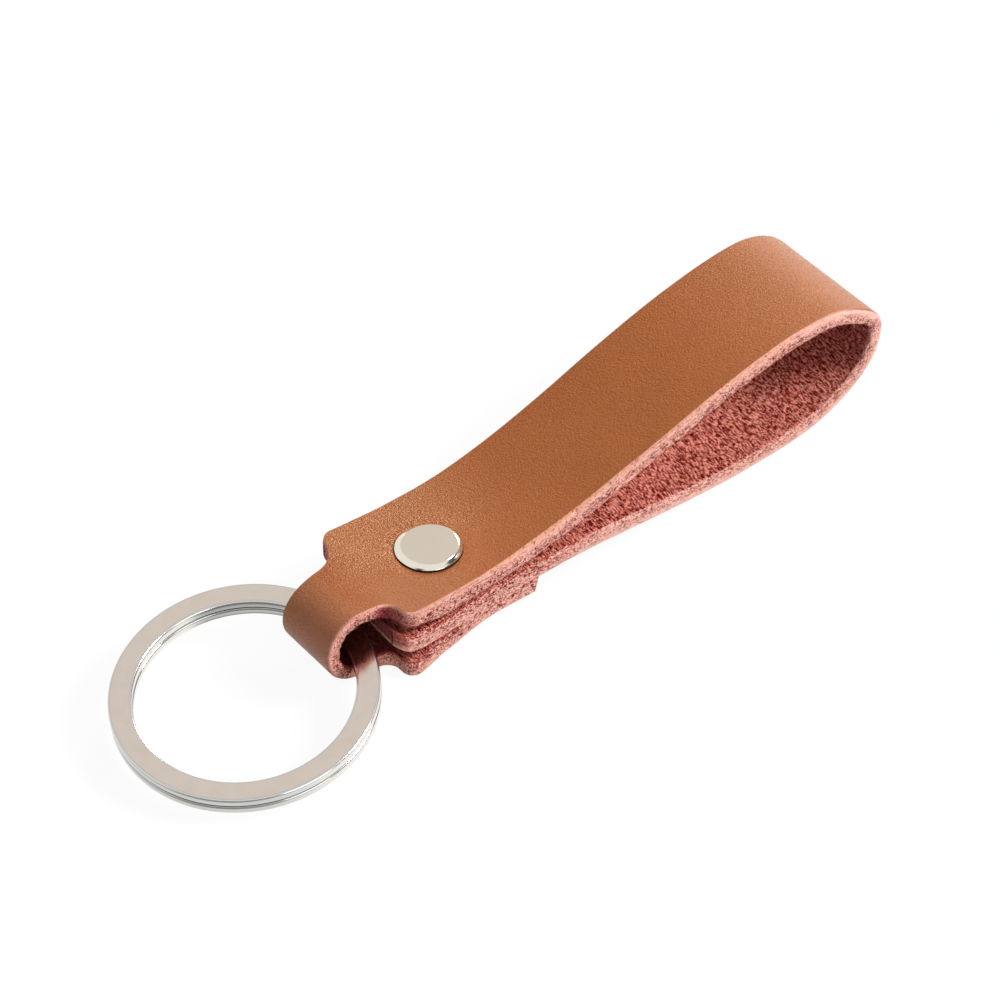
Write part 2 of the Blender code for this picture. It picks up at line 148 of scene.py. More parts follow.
def cloud(x, y, seed):
    """Soft noise from -1 to 1: random heights on a unit grid, joined by smooth steps."""
    table = np.random.default_rng(seed).uniform(-1.0, 1.0, (256, 256))
    xi, yi = np.floor(x).astype(int), np.floor(y).astype(int)
    u, v = ramp(x - xi, 0.0, 1.0), ramp(y - yi, 0.0, 1.0)
    a, b = table[xi % 256, yi % 256], table[(xi + 1) % 256, yi % 256]
    c, d = table[xi % 256, (yi + 1) % 256], table[(xi + 1) % 256, (yi + 1) % 256]
    return (a * (1 - u) + b * u) * (1 - v) + (c * (1 - u) + d * u) * v


def pebbles(x, y, seed):
    """Cell pattern from 0 in the creases to 1 on the crowns: second nearest less nearest random point."""
    table = np.random.default_rng(seed).uniform(0.0, 1.0, (2, 256, 256))
    xi, yi = np.floor(x).astype(int), np.floor(y).astype(int)
    distances = []
    for dx in (-1, 0, 1):
        for dy in (-1, 0, 1):
            cx, cy = (xi + dx) % 256, (yi + dy) % 256
            distances.append(np.hypot(xi + dx + table[0, cx, cy] - x, yi + dy + table[1, cx, cy] - y))
    nearest = np.sort(np.stack(distances), axis=0)
    return ramp(nearest[1] - nearest[0], 0.0, 0.45)


# ---- Leather strap


def bend(start, start_way, start_pull, end, end_way, end_pull, steps):
    """A cubic Bezier curve that leaves start along start_way and arrives at end along end_way."""
    t = np.linspace(0.0, 1.0, steps, endpoint=False)[:, None]
    leaving, arriving = start + start_way * start_pull, end - end_way * end_pull
    return (1 - t) ** 3 * start + 3 * (1 - t) ** 2 * t * leaving + 3 * (1 - t) * t**2 * arriving + t**3 * end


def side_path():
    """The grain in side view, from the middle layer's end round the loop and the neck to the flap's end."""
    ahead, up = np.array([1.0, 0.0]), np.array([0.0, 1.0])
    table = np.array([math.cos(TABLE_LEAN), math.sin(TABLE_LEAN)])
    outer = TUNNEL_RADIUS + NECK_LEATHER
    middle_end, middle_seat = np.array([-9.25, -5.1]), np.array([-4.1, -4.5])
    loop_start, belly = np.array([10.0, -4.5]), np.array([40.2, -5.9])
    belly_end = belly + table * 5.2
    tip, crown = np.array([59.7, 5.2]), np.array([51.2, 10.35])
    top_seat, top_seat_end = np.array([4.1, 0.0]), np.array([-4.1, 0.0])
    fold_top = np.array([TUNNEL_X, outer - TUNNEL_DEPTH])
    fold_bottom = np.array([TUNNEL_X, -outer - TUNNEL_DEPTH])
    flap_low = np.array([-7.8, -5.9 - 48.0 * math.tan(TABLE_LEAN)])
    flap_low_end = flap_low + table * 0.6
    flap_seat, flap_end = np.array([-3.2, FLAP_SEAT]), np.array([9.75 + FLAP_SLANT, FLAP_SEAT])
    angles = np.linspace(0.5 * math.pi, 1.5 * math.pi, 121)[1:-1]
    fold = np.column_stack([TUNNEL_X + outer * np.cos(angles), outer * np.sin(angles) - TUNNEL_DEPTH])
    corners = np.vstack([
        bend(middle_end, ahead, 1.80, middle_seat, ahead, 1.80, 40),
        middle_seat,
        bend(loop_start, ahead, 9.06, belly, table, 9.06, 90),
        belly,
        bend(belly_end, table, 8.59, tip, up, 6.66, 130),
        bend(tip, up, 2.37, crown, -ahead, 3.91, 90),
        bend(crown, -ahead, 15.07, top_seat, -ahead, 15.07, 160),
        top_seat,
        bend(top_seat_end, -ahead, 3.30, fold_top, -ahead, 3.30, 60),
        fold_top,
        fold,
        bend(fold_bottom, ahead, 1.82, flap_low, table, 1.82, 30),
        flap_low,
        bend(flap_low_end, table, 1.60, flap_seat, ahead, 1.60, 40),
        flap_seat,
        flap_end,
    ])
    lengths = np.concatenate([[0.0], np.cumsum(np.hypot(*np.diff(corners, axis=0).T))])
    even = np.linspace(0.0, lengths[-1], 3001)
    path = np.column_stack([np.interp(even, lengths, column) for column in corners.T])
    way = np.gradient(path, even, axis=0)
    way /= np.linalg.norm(way, axis=1)[:, None]
    return even, path, way


LENGTHS, PATH, WAY = side_path()
TOTAL = LENGTHS[-1]
CROWN_AT = LENGTHS[np.argmax(PATH[:, 1])]
FOLD_AT = LENGTHS[np.argmin(PATH[:, 0])]

# How fine its grids are: cross rows, points across, and points round a corner and down a cut side
ROWS, COLUMNS, CORNER_STEPS, WALL_STEPS = 640, 54, 4, 6
# Where the strap leaves the plain side path, outwards, by length along it, at its near and its far edge
LEAN_AT = (0, 20, 29, 39, 45, 54, 59, 63, 67, 70, 74, 77, 80, 83, 86.5, 90, 94, 97, 101, 108, 112, 115, 119, 126,
           130, 134, 138, 143, 146, 149, 151, 153, 155, 157.5, 160, 163, 166, 188)
LEAN_NEAR = (0, .1, .0, -.1, -.1, .12, .0, -.25, -.4, -.22, .0, -.02, -.13, .05, .0, .1, .1, .1, .17, .2, .22, .3,
             .2, .1, 0, -.12, -.25, -.3, -.45, -.25, 0, 0, 0, -.02, -.05, -.1, 0, 0)
LEAN_FAR = (0, 0, -.05, -.1, -.1, 0, -.05, -.15, -.12, -.1, -.15, -.25, .35, .6, .66, .58, .5, .5, .46, .38, .22, .16,
            .08, 0, -.06, -.1, -.12, .25, .3, -.5, -.98, -1.05, -.85, -.55, -.3, -.1, 0, 0)
# How far the layers spread apart away from the rivet
SPREAD_AT = (0, 1.3, 3.3, 5.5, 9, 14, 19, 23, 28, 166, 169, 171, 173, 174.3, 175.5, 176.7, 178, 180, 182, 185, 188)
SPREAD = (-.4, .8, 1.54, 1.54, 1.11, .6, .32, .1, 0, 0, 0, .35, 1.35, 1.66, 1.55, 1.25, .8, .3, .02, .05, .1)
# Thickness at the near edge, and over the rest of the width
THICK_AT = (0, 12, 25, 40, 52, 60, 68, 75, 80, 85, 90, 95, 105, 125, 131, 136, 138, 141, 143, 146, 150, 154, 158,
            162, 166, 170, 188)
THICK_NEAR = (2.3, 2.25, 2.1, 1.8, 1.75, 1.75, 1.7, 1.75, 2.05, 2.15, 2.2, 2.2, 2.3, 2.4, 2.5, 2.8, 3.0, 3.05, 2.6,
              2.2, 1.52, 1.78, 1.86, 1.68, 1.68, 2.2, 2.25)
THICK_REST = (2.2, 2.15, 2.1, 1.75, 1.6, 1.55, 1.45, 1.4, 1.55, 1.9, 2.1, 2.15, 2.2, 2.2, 2.2, 2.2, 2.2, 2.2, 2.2,
              2.1, 1.42, 1.34, 1.46, 1.55, 1.6, 2.2, 2.2)
# The slope that the knife leaves at the top of the cut edge: how far in, and how far down
BEVEL_AT = (0, 60, 66, 72, 79, 85, 112, 119, 128, 132, 136, 146, 150, 160, 166, 188)
BEVEL_IN = (.22, .22, .3, .5, .6, .36, .36, .52, .55, .4, .12, .15, .45, .4, .22, .22)
BEVEL_DOWN = 0.75
FAR_BEVEL = 0.14
END_SLANT = 1.7
# How much further than its half width the near edge stands out
WIDER_AT = (15, 22, 64, 71, 79, 86, 164, 168, 171, 174, 177)
WIDER = (0, .12, .12, .25, .2, 0, 0, .55, .22, .15, .06)

# The strap's materials, by their place in its list
TOP, CUT, FLESH = 0, 1, 2

# Tones by length along the strap: where one starts to come in, is full, starts to go out, and is gone
LOOP_PALE = (18, 30, 84, 92)
# Painted shade on the flesh inside the loop's tip
TIP_SHADE = (64, 74, 88, 104)
# Painted light on the grain at the loop's tip
TIP_PAINTED_LIGHT = (66, 72, 76, 90)
# Painted glints and stronger pebbles on the grain at the tip
TIP_GLINTS = (72, 80, 88, 100)
# Painted glints and stronger pebbles on the grain beside the rivet
SEAT_GLINTS = (124, 138, 144.5, 150.5)
# Painted light on the grain beside the rivet
SEAT_PAINTED_LIGHT = (135, 140, 145.5, 148.5)
# Painted light on the grain round the fold
FOLD_PAINTED_LIGHT = (148.5, 152.5, 158, 162)
FOLD_NARROW = (149, 153, 161, 165)
# And round the ring, in degrees, for its painted highlights, painted dark lines and painted grey walls
RING_BACK = (-40, -10, 72, 86)
RING_INSIDE = (-22, -12, 20, 30)
RING_EXIT = (-38, -26, -8, 0)
RING_LIT = (-122, -80, -40, -25)


def read_along(s, table):
    """The two columns of the side path, or of its direction, at length s."""
    return [np.interp(s, LENGTHS, column) for column in table.T]


def across(y):
    """Share of the way from the near edge, at 0, to the far edge, at 1."""
    return np.clip((y + STRAP_HALF) / (2.0 * STRAP_HALF), -0.1, 1.1)


def lift(s, y):
    """How far the strap stands out from its side path: a lean from edge to edge, and the layers' spread.

    The spread is nothing under the rivet and at the far edge, and full beyond a distance from the rivet.
    """
    share = across(y)
    lean = eased(s, LEAN_AT, LEAN_NEAR, 1.8) * (1.0 - share) + eased(s, LEAN_AT, LEAN_FAR, 1.8) * share
    away = ramp(np.hypot(read_along(s, PATH)[0], y - RIVET_Y), 3.0, 6.6)
    near = 1.0 - ramp(share, 0.45, 0.9)
    return lean + eased(s, SPREAD_AT, SPREAD, 0.8) * away * near


def thickness(s, y):
    """Thickness of the leather: its own value near the near edge, another over the rest.

    On the neck the near edge's value reaches less far in, so that the ring has room.
    """
    near, rest = eased(s, THICK_AT, THICK_NEAR, 1.5), eased(s, THICK_AT, THICK_REST, 1.5)
    at_edge = (1.0 - across(y)) ** 4
    neck = (s > NECK_START) & (s < NECK_END)
    at_edge = np.where(neck, np.clip((-y - 4.0) / 0.8, 0.0, 1.0), at_edge)
    return near * at_edge + rest * (1.0 - at_edge)


def folded(s, y, n):
    """Points of the leather: the side path at length s, width y, and n out along its normal."""
    (x, z), (wx, wz) = read_along(s, PATH), read_along(s, WAY)
    size = np.hypot(wx, wz)
    out = n + lift(s, y)
    return np.stack([x + out * wz / size, y, z - out * wx / size], axis=-1)


def length_at(x, after, before):
    """Length along the path at which it passes x, between two lengths."""
    part = (LENGTHS >= after) & (LENGTHS <= before)
    order = np.argsort(PATH[part, 0])
    return float(np.interp(x, PATH[part, 0][order], LENGTHS[part][order]))


NECK_START = length_at(SHOULDER_X, CROWN_AT, FOLD_AT)
NECK_END = length_at(SHOULDER_X, FOLD_AT, TOTAL)


def rounded(before, wide, corner):
    """Half width at a distance before a rounded corner: the full width, then a quarter circle."""
    return wide - corner + np.sqrt(corner**2 - np.clip(corner - before, 0.0, corner) ** 2)


def shoulder(inside, wide, narrow, rounds):
    """Half width near a shoulder: a quarter circle out of the full width, then one into the neck."""
    corner, root = rounds
    after = np.clip(root - inside, 0.0, root)
    thin = narrow + root - np.sqrt(root**2 - after**2)
    return np.where(inside < 0.0, rounded(-inside, wide, corner), thin)


def half_widths(s):
    """Near and far half width of the strap at length s."""
    halves = []
    # The neck gets 0.25 mm narrower along its way, on its far side first
    near_neck = np.interp(s, (160, 166), (-NECK_NEAR, -NECK_NEAR - 0.25))
    far_neck = np.interp(s, (147, 151), (NECK_FAR + 0.25, NECK_FAR))
    for narrow, rounds, top_back, flap_back, extra in (
        (near_neck, SHOULDER_NEAR, 0.0, FLAP_NEAR_BACK, np.interp(s, WIDER_AT, WIDER)),
        (far_neck, SHOULDER_FAR, SHOULDER_FAR_BACK, 0.0, 0.0),
    ):
        wide = STRAP_HALF + extra
        inside = np.minimum(s - NECK_START - top_back, NECK_END - flap_back - s)
        ends = np.minimum(rounded(s, wide, MIDDLE_ROUND), rounded(TOTAL - s, wide, FLAP_ROUND))
        halves.append(np.minimum(shoulder(inside, wide, narrow, rounds), ends))
    return halves


def strap_rows():
    """Lengths of the cross rows: even, with more where the outline turns."""
    sweep = 1.0 - np.cos(np.linspace(0.0, 0.5 * math.pi, 9))
    marks = [np.linspace(0.0, TOTAL, ROWS), MIDDLE_ROUND * sweep, TOTAL - FLAP_ROUND * sweep]
    for place, inwards, (corner, root) in (
        (NECK_START, 1.0, SHOULDER_NEAR),
        (NECK_START + SHOULDER_FAR_BACK, 1.0, SHOULDER_FAR),
        (NECK_END - FLAP_NEAR_BACK, -1.0, SHOULDER_NEAR),
        (NECK_END, -1.0, SHOULDER_FAR),
    ):
        marks += [place - inwards * (0.01 + corner * sweep), place + inwards * (0.01 + root * sweep)]
    rows = np.unique(np.concatenate(marks))
    keep = np.concatenate([[True], np.diff(rows) > 0.015])
    return rows[keep]


def grain_height(s, y):
    """The grain's relief: soft waves, and pebbles that fade where the cap presses."""
    waves = 0.03 * cloud(s / 6.0, y / 5.0, 3) + 0.006 * cloud(s / 1.8, y / 1.8, 4)
    shift = 0.3 * cloud(s / 1.1, y / 1.1, 6)
    relief = 0.003 * (pebbles(s / 0.62 + shift, y / 0.62 - shift, 5) - 0.5)
    on_top = ((s > CROWN_AT) & (s < FOLD_AT)).astype(float)
    away = np.hypot(read_along(s, PATH)[0] - CAP_AT[0], y - CAP_AT[1])
    ring = 0.05 * bell(away, RIVET_RADIUS + 0.9, 0.8) * on_top
    seat = -0.03 * (1.0 - ramp(away, RIVET_RADIUS - 0.1, RIVET_RADIUS + 0.25)) * on_top
    return (waves + relief) * ramp(away, RIVET_RADIUS, RIVET_RADIUS + 0.5) + ring + seat


def flesh_height(s, y):
    """The flesh side's nap: tufts of about half a millimetre on a softer swell."""
    tufts = pebbles(s / 0.7 + 0.4 * cloud(s, y, 11), y / 1.3 + 0.4 * cloud(s, y, 12), 13)
    return 0.08 * (tufts - 0.6) + 0.05 * cloud(s / 1.7, y / 1.7, 14)


def edge_height(s, n, seed):
    """The cut edge's fibre: streaks along the strap, two noises of unlike length."""
    return 0.05 * cloud(s / 0.9, n / 0.3, seed) + 0.045 * cloud(s / 0.4, n / 0.25, seed + 1)


def strap_coordinates():
    """Length, width and depth of every point: grain and flesh as grids, and the two cut sides between."""
    rows = strap_rows()
    near, far = half_widths(rows)
    # A little closer together towards the edges
    columns = np.linspace(-1.0, 1.0, COLUMNS)
    columns = 0.82 * columns + 0.18 * np.sin(0.5 * math.pi * columns)
    bevel = eased(rows, BEVEL_AT, BEVEL_IN, 1.5)
    low, high = -near + bevel, far - FAR_BEVEL
    s = np.repeat(rows[:, None], len(columns), axis=1)
    y = low[:, None] + (high - low)[:, None] * 0.5 * (columns + 1.0)
    grain = np.stack([s, y, grain_height(s, y)], axis=-1)
    flesh = np.stack([s, y, -thickness(s, y) - flesh_height(s, y) * flesh_fade(s)], axis=-1)
    corner = np.linspace(0.0, 0.5 * math.pi, CORNER_STEPS + 1)[1:]
    down = np.linspace(0.0, 1.0, WALL_STEPS + 1)[1:]
    sides = []
    for edge, sign, seed, slope in ((low, -1.0, 21, bevel), (high, 1.0, 31, np.full(len(rows), FAR_BEVEL))):
        thick = thickness(rows, edge)
        drop = BEVEL_DOWN * slope
        round_ring = band(rows, NECK_START, NECK_START + 2.0, NECK_END - 2.0, NECK_END)
        ragged = (0.10 + 0.10 * round_ring) * cloud(rows / 0.35, rows * 0.0, seed + 5)
        turned = -drop[:, None] * (1.0 - np.cos(corner))
        wall = -drop[:, None] - (thick - drop - 0.6 * FLESH_ROUND)[:, None] * down
        wall[:, -1] += ragged
        n = np.concatenate([turned, wall], axis=1)
        out = slope[:, None] * np.concatenate([np.sin(corner), np.ones(len(down))])
        side_s = np.repeat(rows[:, None], n.shape[1], axis=1)
        fade = ramp(side_s, 0.0, 1.2) * ramp(TOTAL - side_s, 0.0, 0.8)
        push = out + edge_height(side_s, n, seed) * ramp(-n, 0.02, 0.35) * fade
        push[:, -1] -= 0.5 * FLESH_ROUND
        sides.append(np.stack([side_s, edge[:, None] + sign * push, n], axis=-1))
    for part in (grain, *sides):
        share = np.clip(1.0 + part[..., 2] / 2.0, 0.0, 1.0)
        part[..., 0] -= FLAP_SLANT * share * ramp(part[..., 0], TOTAL - 1.2, TOTAL)
    for part in (grain, flesh, *sides):
        slant = END_SLANT * np.clip(across(part[..., 1]), 0.0, 1.0) ** 1.5
        part[..., 0] += slant * (1.0 - ramp(part[..., 0], 0.0, 5.0))
    return grain, flesh, *sides


def flesh_fade(s):
    """Less nap where the leather is clamped or lies round the ring."""
    return 0.25 + 0.75 * ramp(s, 8.0, 20.0) * (1.0 - ramp(s, TOTAL - 62.0, TOTAL - 50.0))


def cut_end(grain, flesh, steps, skew):
    """Inner points of a cut end, in some steps from the grain's last row to the flesh's."""
    share = np.linspace(0.0, 1.0, steps + 2)[1:-1, None, None]
    inner = grain[None, 1:-1] * (1.0 - share) + flesh[None, 1:-1] * share
    rough = 0.07 * cloud(inner[..., 1] / 0.35, inner[..., 2] / 0.3, 41)
    fade = 1.0 - np.linspace(-1.0, 1.0, inner.shape[1]) ** 2
    inner[..., 0] += skew * (0.15 * np.sqrt(np.sin(math.pi * share[..., 0])) + rough) * fade
    return inner


def tones(lay, top_points):
    """Three tones for the leather's finishes, each from 0 to 1. The first top_points points are the grain's.

    Painted shade in the fold, on the middle layer's end, at the notch and inside the tip, or on the grain painted
    light;
    the share of the way from grain to flesh; and how pale a cut rim is, or on the grain painted glints and bolder
    pebbles.
    """
    s, y, n = lay[:, 0], lay[:, 1], lay[:, 2]
    share = np.clip(-n / thickness(s, y), 0.0, 1.0)
    inner = ramp(share - 0.11 * band(s, *FOLD_NARROW), 0.75, 0.95)
    # Painted shade inside the fold's tunnel, on its flesh and the inner part of its cut edges
    tunnel = band(s, NECK_START - 3.0, NECK_START + 0.5, NECK_END, NECK_END + 4.0)
    not_far = 1.0 - ramp(y, 4.0, 6.0)
    mouth = (1.0 - 0.9 * ramp(-y, 5.0, 8.0)) * not_far
    # Painted shade on the middle layer's cut end
    end = (1.0 - ramp(s, 0.4, 2.5)) * ramp(share, 0.10, 0.32) * (1.0 - 0.22 * ramp(-y, 5.6, 7.4)) * not_far
    # Painted shade at the root of the neck's near notch
    notch_shade = bell(s, NECK_START + 0.9, 1.45) * ramp(share, 0.03, 0.28) * (y < 0.0)
    neck = band(s, NECK_START, NECK_START + 1.5, NECK_END - 1.5, NECK_END)
    shade = 0.60 * band(s, *TIP_SHADE) * (share > 0.97)
    # All of these are painted shade, with a little more darkening along the neck
    painted_shading = np.clip(tunnel * inner * mouth + 0.93 * end + notch_shade + shade + 0.15 * neck, 0.0, 1.0)
    # Painted light on the grain: lighter at the tip, round the fold and beside the rivet
    painted_light = band(s, *TIP_PAINTED_LIGHT) * (0.75 + 0.35 * across(y))
    painted_light += 0.42 * band(s, *FOLD_PAINTED_LIGHT)
    painted_light += 0.28 * band(s, *SEAT_PAINTED_LIGHT) * ramp(-y, 0.5, 3.5)
    on_grain = (np.arange(len(lay)) < top_points) | (share <= 0.02)
    painted_shading = np.where(on_grain, painted_light, painted_shading)
    pale = band(s, *LOOP_PALE) * (1.0 - 0.6 * ramp(share, 0.15, 0.7))
    # Where painted glints go on the grain, and its pebbles and creases stand out more
    glints_and_relief = band(s, *SEAT_GLINTS) * ramp(y, -4.0, 1.5)
    glints_and_relief = np.maximum(glints_and_relief, 0.35 * band(s, *TIP_GLINTS))
    return np.column_stack([painted_shading, share, np.where(on_grain, glints_and_relief, pale)])


def numbered(first, shape):
    """A grid of point numbers that counts up from the first."""
    return first + np.arange(math.prod(shape)).reshape(shape)


def quads(index):
    """Faces of a grid of point numbers."""
    return np.stack([index[:-1, :-1], index[1:, :-1], index[1:, 1:], index[:-1, 1:]], axis=-1).reshape(-1, 4)


def punched(grain, index_grain, index_flesh):
    """The rivet's hole: which faces of the grids stay, the faces of its wall, and which points are its rim."""
    middle = 0.25 * (grain[:-1, :-1] + grain[1:, :-1] + grain[1:, 1:] + grain[:-1, 1:])
    inside = np.hypot(read_along(middle[..., 0], PATH)[0], middle[..., 1] - RIVET_Y) < HOLE_RADIUS
    walls = []
    for first, second, (a_i, a_j), (b_i, b_j) in (
        (inside[:-1], inside[1:], (1, 0), (1, 1)),
        (inside[:, :-1], inside[:, 1:], (1, 1), (0, 1)),
    ):
        i, j = np.nonzero(first != second)
        a, b = (i + a_i, j + a_j), (i + b_i, j + b_j)
        wall = np.stack([index_grain[a], index_grain[b], index_flesh[b], index_flesh[a]], axis=-1)
        leaving = ~second[i, j]
        wall[leaving] = wall[leaving][:, ::-1]
        walls.append(wall)
    walls = np.concatenate(walls)
    return ~inside.ravel(), walls, np.isin(index_grain, walls[:, :2])


def strap_mesh():
    """The strap as one closed shell of grids, in the side frame, with its length, width and depth kept."""
    grain, flesh, near, far = strap_coordinates()
    rows, columns = grain.shape[:2]
    steps = near.shape[1]
    index_grain = numbered(0, (rows, columns))
    index_flesh = numbered(rows * columns, (rows, columns))
    index_near = numbered(2 * rows * columns, (rows, steps))
    index_far = index_near + rows * steps
    start = cut_end(grain[0], flesh[0], steps, -1.0)
    finish = cut_end(grain[-1], flesh[-1], steps, 1.0)
    index_start = numbered(index_far.max() + 1, start.shape[:2])
    index_finish = numbered(index_start.max() + 1, finish.shape[:2])
    keep, walls, rim = punched(grain, index_grain, index_flesh)
    near_band = np.concatenate([index_grain[:, :1], index_near, index_flesh[:, :1]], axis=1)
    far_top = np.concatenate([index_grain[:, -1:], index_far[:, :CORNER_STEPS]], axis=1)
    far_band = np.concatenate([index_far[:, CORNER_STEPS - 1:], index_flesh[:, -1:]], axis=1)
    caps = []
    for row, inner in ((0, index_start), (-1, index_finish)):
        middle = np.concatenate([index_near[row][:, None], inner, index_far[row][:, None]], axis=1)
        caps.append(np.concatenate([index_grain[row][None], middle, index_flesh[row][None]]))
    groups = [
        (quads(index_grain)[keep][:, ::-1], TOP),
        (quads(near_band), CUT),
        (quads(far_top)[:, ::-1], TOP),
        (quads(far_band)[:, ::-1], CUT),
        (quads(caps[0])[:, ::-1], CUT),
        (quads(caps[1]), CUT),
        (walls, CUT),
        (quads(index_flesh)[keep], FLESH),
    ]
    lay = np.concatenate([part.reshape(-1, 3) for part in (grain, flesh, near, far, start, finish)])
    reach = np.hypot(read_along(lay[:, 0], PATH)[0], lay[:, 1] - RIVET_Y)
    on_rim = np.concatenate([rim.ravel(), rim.ravel(), np.zeros(len(lay) - 2 * rim.size, bool)])
    points = folded(lay[:, 0], lay[:, 1], lay[:, 2])
    pull = (HOLE_RADIUS / np.maximum(reach, 0.1))[on_rim]
    points[on_rim, 0] *= pull
    points[on_rim, 1] = RIVET_Y + (points[on_rim, 1] - RIVET_Y) * pull
    faces = np.concatenate([faces for faces, _ in groups])
    slots = np.concatenate([np.full(len(faces), slot) for faces, slot in groups])
    return points, faces, slots, lay, rows * columns


# ---- Split ring


def ring_axes():
    """The ring's along, across and through directions in the side frame."""
    c, s = math.cos(RING_LEAN), math.sin(RING_LEAN)
    d, e = math.cos(RING_ROLL), math.sin(RING_ROLL)
    lean = np.array([[c, 0.0, -s], [0.0, 1.0, 0.0], [s, 0.0, c]])
    roll = np.array([[1.0, 0.0, 0.0], [0.0, d, -e], [0.0, e, d]])
    return lean @ roll


def wire_outline():
    """The flat wire's section: a rectangle with its four corners rounded, further in than down."""
    half_width, half_height = 0.5 * WIRE_WIDTH - WIRE_IN, 0.5 * WIRE_THICKNESS - WIRE_DOWN
    wall = half_height * np.array([0.75, 0.3, -0.3, -0.75])
    points = []
    for turn, (sx, sy) in enumerate(((1, 1), (-1, 1), (-1, -1), (1, -1))):
        angles = 0.5 * math.pi * (turn + np.linspace(0.0, 1.0, 9))
        points.append(np.column_stack([
            sx * half_width + WIRE_IN * np.cos(angles),
            sy * half_height + WIRE_DOWN * np.sin(angles),
        ]))
        if turn in (1, 3):
            points.append(np.column_stack([np.full(4, sx * 0.5 * WIRE_WIDTH), wall * -sx]))
    return np.concatenate(points)


def wire_tones(outline, turned, upper):
    """Painted highlights, painted dark lines and painted grey walls, by cross section and point of the outline.

    The dark lines, painted shade and reflection, lie under the flat's edges and between the turns. Their strength
    changes round the ring.
    """
    x, z = outline.T
    outer = x > 0.0
    straight = 0.5 * WIRE_THICKNESS - WIRE_DOWN
    flat = 0.5 * WIRE_WIDTH - WIRE_IN
    at_side = ramp(np.abs(x), flat - 0.02, 0.5 * WIRE_WIDTH - 0.05)
    rise = (np.abs(z) - straight) / WIRE_DOWN
    degrees = np.degrees(wrapped(turned))[:, None]
    upper = upper[:, None]
    front = bell(degrees, -140.0, 38.0) + bell(degrees, 220.0, 38.0)
    back, inside = band(degrees, *RING_BACK), band(degrees, *RING_INSIDE)
    exit_side, lit = band(degrees, *RING_EXIT), band(degrees, *RING_LIT)
    # Painted dark lines: shade between the turns and reflections under the flat's edges
    line = np.where(outer, (0.30 + 0.65 * front) * (1.0 - 0.75 * lit), 0.45 + 0.55 * back)
    under = bell(z, straight + 0.02, 0.06) * at_side
    corner = np.abs(x) > flat + 0.01
    between = 0.8 * np.where(z < 0.0, ramp(rise, 0.2, 0.6), ramp(rise, 0.6, 0.9) * (1.0 - upper)) * corner
    wall = at_side * (rise < 0.35)
    dark = line * np.maximum(under, between)
    # Painted shade on the inner walls round the back, and on the outer wall where the ring leaves the strap
    dim = back * (upper * (0.30 + 0.45 * ramp(z, -0.1, 0.3)) + (1.0 - upper) * (0.15 + 0.4 * ramp(-z, 0.0, 0.25)))
    dark = np.maximum(dark, wall * np.where(outer, exit_side, dim))
    # Painted highlights on the upper turn's corners and on walls that face the light
    light = 0.8 * bell(rise, 0.6, 0.22) * (z > 0.0) * upper * corner * (1.0 - inside)
    light = np.maximum(light, 0.75 * (wall * np.where(outer, lit, 1.0 - back)))
    # Corners and walls painted a grey that stands for what they reflect
    painted_grey = (corner | wall.astype(bool)) * np.ones_like(degrees)
    # Painted shade where the ring runs through the tunnel
    return np.stack([light, np.maximum(dark, 0.35 * inside), painted_grey], axis=-1)


def ring_mesh():
    """The split ring: the wire's outline carried round two turns, crossing from one to the other."""
    angles = np.linspace(WIRE_END, 4.0 * math.pi - WIRE_END, 641)
    rise = ramp(angles, 2.0 * math.pi - CROSSING, 2.0 * math.pi + CROSSING) - 0.5
    outline = wire_outline()
    coil = RING_RADIUS - 0.5 * WIRE_WIDTH
    wobble = 0.02 * cloud(angles * 2.0, np.zeros_like(angles), 51)
    radius = coil + wobble[:, None] + outline[:, 0]
    height = ((WIRE_THICKNESS + TURN_GAP) * rise)[:, None] + outline[:, 1]
    turned = angles[:, None] + CROSSING_AT
    local = np.stack([radius * np.cos(turned), radius * np.sin(turned), height], axis=-1)
    count, around = local.shape[:2]
    index = np.pad(numbered(0, (count, around)), ((0, 0), (0, 1)), "wrap")
    faces = quads(index)
    middles = np.stack([local[0].mean(axis=0), local[-1].mean(axis=0)])
    ends = []
    for row, middle in ((0, count * around), (count - 1, count * around + 1)):
        fan = np.stack([index[row, :-1], index[row, 1:], np.full(around, middle)], axis=-1)
        ends.append(fan if row == 0 else fan[:, ::-1])
    local = np.concatenate([local.reshape(-1, 3), middles])
    tone = np.concatenate([wire_tones(outline, turned[:, 0], rise + 0.5).reshape(-1, 3), np.zeros((2, 3))])
    points = local @ ring_axes().T + RING_CENTRE
    return points, faces, np.concatenate(ends), tone


# ---- Rivet


def cap_outline(radius, height):
    """Half section of a pressed cap, from crown over lip to hollow: radius and height of each point."""
    crown, wall, lip = radius - CAP_SHOULDER, 0.28, 0.75
    dome, foot, hollow = 0.035, 0.11, 0.2
    flat = np.column_stack([np.linspace(0.0, crown, 12)[:-1], np.full(11, height)])
    flat[:, 1] += dome * (1.0 - (flat[:, 0] / crown) ** 2)
    share = np.linspace(0.0, 1.0, 14)
    bevel = np.column_stack([crown + CAP_SHOULDER * share, height - (height - foot) * share**1.1])
    rim = np.array([[radius + 0.01, 0.08], [radius, 0.04], [radius - 0.03, 0.01], [radius - 0.12, 0.0],
                    [radius - lip, 0.0]])
    inside = np.array([[radius - lip, hollow], [radius - wall, hollow], [crown, height - wall], [0.0, height - wall]])
    return np.concatenate([flat, bevel, rim, inside])


